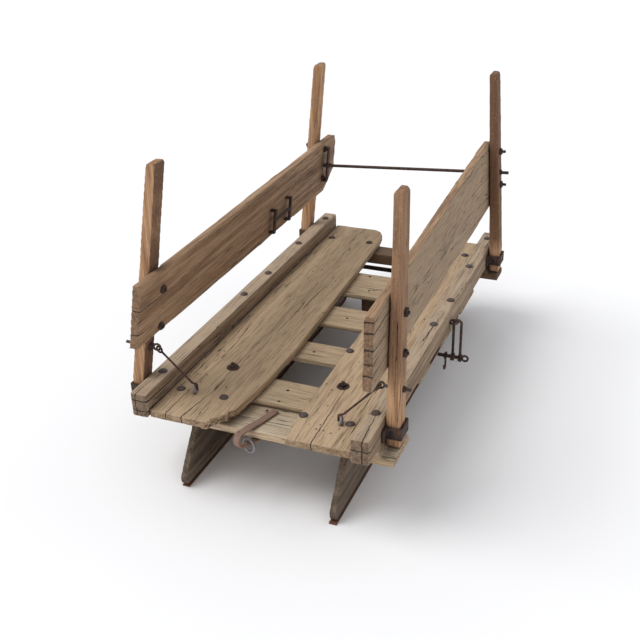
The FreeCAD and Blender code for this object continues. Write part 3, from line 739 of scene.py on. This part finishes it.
# %% [markdown]
# ## Broken wood
#
# The left deck board has lost its inner near corner, and the right side board's near end
# has split into layers. Torn fibres are long spikes, all roughly along the grain, of many
# lengths. They are seeded, so they come out the same on every run.

# %% Make the splinters
BROKEN_LINE = [(-84, 4), (-77, 12), (-79, 22), (-70, 27), (-66, 38), (-57, 43), (-58, 55),
               (-50, 62), (-47, 79)]


def deck_splinters(mesh):
    for (x0, y0), (x1, y1) in zip(BROKEN_LINE, BROKEN_LINE[1:]):
        for _ in range(9):
            share = random.random()
            z = random.uniform(169.5, 184.5)
            root = at(x0 + (x1 - x0) * share - 2, y0 + (y1 - y0) * share + 3, z)
            reach = random.uniform(4, 15)
            tip = root + Vector((random.uniform(-1.5, 2.5), -reach, random.uniform(-1.5, 0.8))) / 1000
            tip.y = max(tip.y, at(0, 1, 0).y)
            spike(mesh, root, tip, random.uniform(0.0007, 0.0018))
    spike(mesh, at(-59, 52, 172), at(-57, 44, 146), 0.0012)


def board_splinters(mesh):
    for z in range(326, 458, 4):
        for _ in range(2):
            spot = z + random.uniform(-2, 2)
            x = STAKE_FACE + 0.02 * (spot - RAIL_TOP) - random.uniform(3, BOARD - 3)
            root = at(x, 9, spot)
            tip = at(x + random.uniform(-1, 1), random.uniform(0.5, 4), spot + random.uniform(-2, 2))
            spike(mesh, root, tip, random.uniform(0.0008, 0.0016))


REDDISH = (srgb(170, 120, 84), srgb(132, 86, 60), srgb(84, 52, 38))
GREYED = (GREY_BEIGE, SIDE[0], SIDE[1])
torn_deck = wood("torn_deck_wood", nodes["left_deck_board"], "y", REDDISH, 91.0, holes=0.0)
make_piece("deck_board_splinters", "sled", torn_deck, deck_splinters, smooth=False)
torn_side = wood("torn_board_wood", nodes["right_sideboard"], "y", GREYED, 95.0, holes=0.0)
make_piece("side_board_splinters", "racks", torn_side, board_splinters, smooth=False)

# %% [markdown]
# ## The studio
#
# A wide pale floor, one broad soft lamp high on the left and an even pale sky. A sun lamp
# lights the whole floor alike; its angle sets how soft the shadow is, and the sky how deep.

# %% Floor, lights and camera
FLOOR_TONE, FLOOR_SHADE, FLOOR_REACH = srgb(240, 240, 240), srgb(237, 237, 237), 30.0
floor_mesh = bpy.data.meshes.new("studio_floor")
corners = [(x * FLOOR_REACH, y * FLOOR_REACH, 0) for x, y in ((-1, -1), (1, -1), (1, 1), (-1, 1))]
floor_mesh.from_pydata(corners, [], [(0, 1, 2, 3)])
floor = bpy.data.objects.new("studio_floor", floor_mesh)
bpy.context.scene.collection.objects.link(floor)
paper, s = empty_material("studio_paper")
spread = s.add("ShaderNodeTexCoord").outputs["Object"]
paper_tone = s.mix(s.ramp(s.noise(spread, 0.8, 2.0), 0.3, 0.7), FLOOR_TONE, FLOOR_SHADE)
finish_material(s, paper_tone, 0.9, s.add("ShaderNodeNewGeometry").outputs["Normal"], 0.0, 0.1)
floor_mesh.materials.append(paper)

sky = bpy.data.worlds.new("pale_sky")
bpy.context.scene.world = sky
sky.use_nodes = True
SKY_TONE, SKY_STRENGTH = srgb(250, 251, 255), 0.78
sky.node_tree.nodes["Background"].inputs[0].default_value = SKY_TONE
sky.node_tree.nodes["Background"].inputs[1].default_value = SKY_STRENGTH

lamp_data = bpy.data.lights.new("soft_lamp", "SUN")
LAMP_PLACE, LAMP_SPREAD, LAMP_STRENGTH = (-1.5, -0.7, 2.6), 38, 1.75
lamp_data.angle = math.radians(LAMP_SPREAD)
lamp_data.energy = LAMP_STRENGTH
lamp = bpy.data.objects.new("soft_lamp", lamp_data)
bpy.context.scene.collection.objects.link(lamp)
lamp.location = LAMP_PLACE
lamp.rotation_euler = (Vector((0, 0, 0.2)) - lamp.location).to_track_quat("-Z", "Y").to_euler()

CAMERA_PLACE, CAMERA_TURN, LENS = (687.7, -1259.3, 1158.3), (62.432, 1.452, 22.084), 52.58
camera_data = bpy.data.cameras.new("studio_camera")
camera_data.lens = LENS
camera_data.sensor_width = 36.0
camera = bpy.data.objects.new("studio_camera", camera_data)
bpy.context.scene.collection.objects.link(camera)
camera.location = at(*CAMERA_PLACE)
camera.rotation_euler = [math.radians(angle) for angle in CAMERA_TURN]
bpy.context.scene.camera = camera
bpy.context.scene.view_settings.view_transform = "Standard"
print("studio ready:", floor.name, lamp.name, camera.name)
